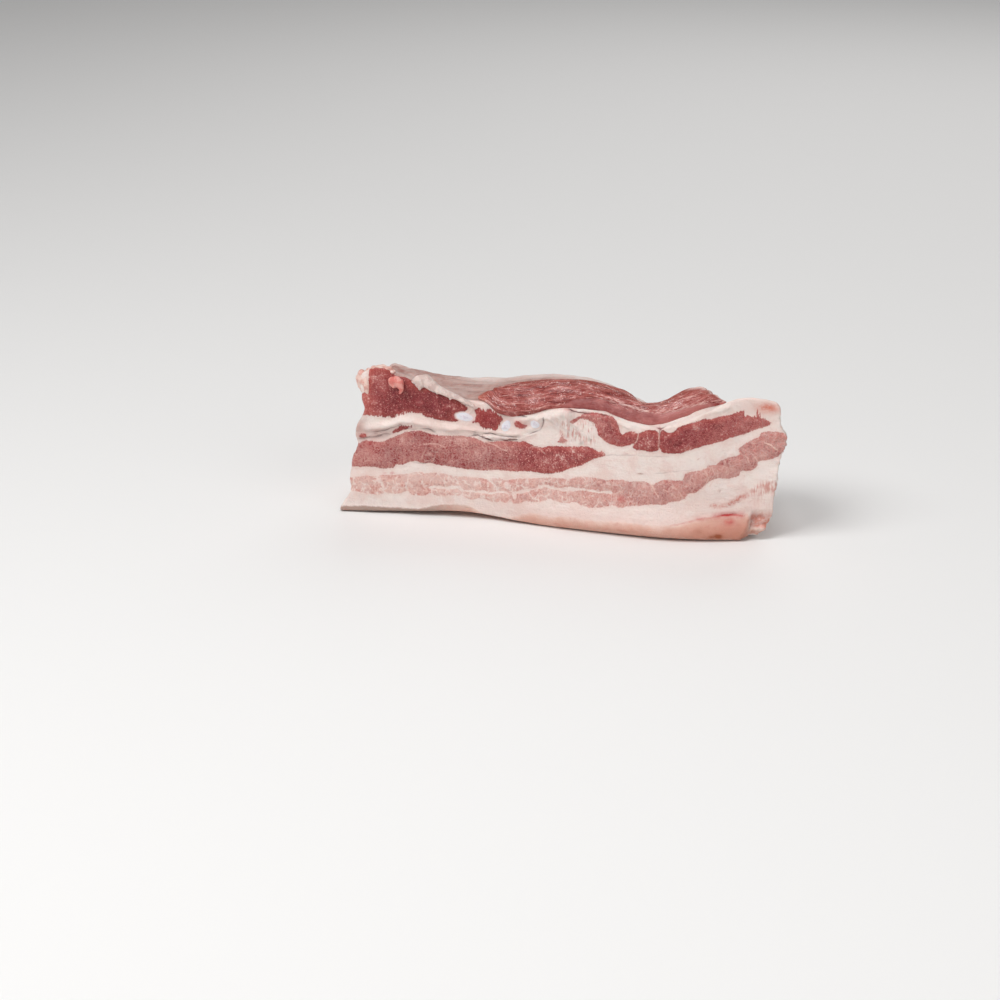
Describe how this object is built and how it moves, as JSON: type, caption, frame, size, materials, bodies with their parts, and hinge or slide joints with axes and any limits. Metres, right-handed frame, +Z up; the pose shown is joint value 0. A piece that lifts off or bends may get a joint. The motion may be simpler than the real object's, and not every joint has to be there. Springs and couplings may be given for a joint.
{
  "type": "pork belly slab",
  "caption": "Slab of raw pork belly lying skin down, with the cut face showing layers of lean and fat, for kitchen and butchery scenes.",
  "frame": {"origin": "centre of the bounding box's bottom face, on the surface that the slab rests on", "axes": "+X along the slab's length, -Y towards the cut face that shows the layers, +Z up from the skin"},
  "size_m": [0.1986, 0.0586, 0.069],
  "materials": {
    "raw_pork": "moist raw pork: creamy fat, pink to dark red lean, pale pink rind"
  },
  "bodies": {
    "root": {"pork_belly_slab": "raw_pork"}
  },
  "joints": []
}
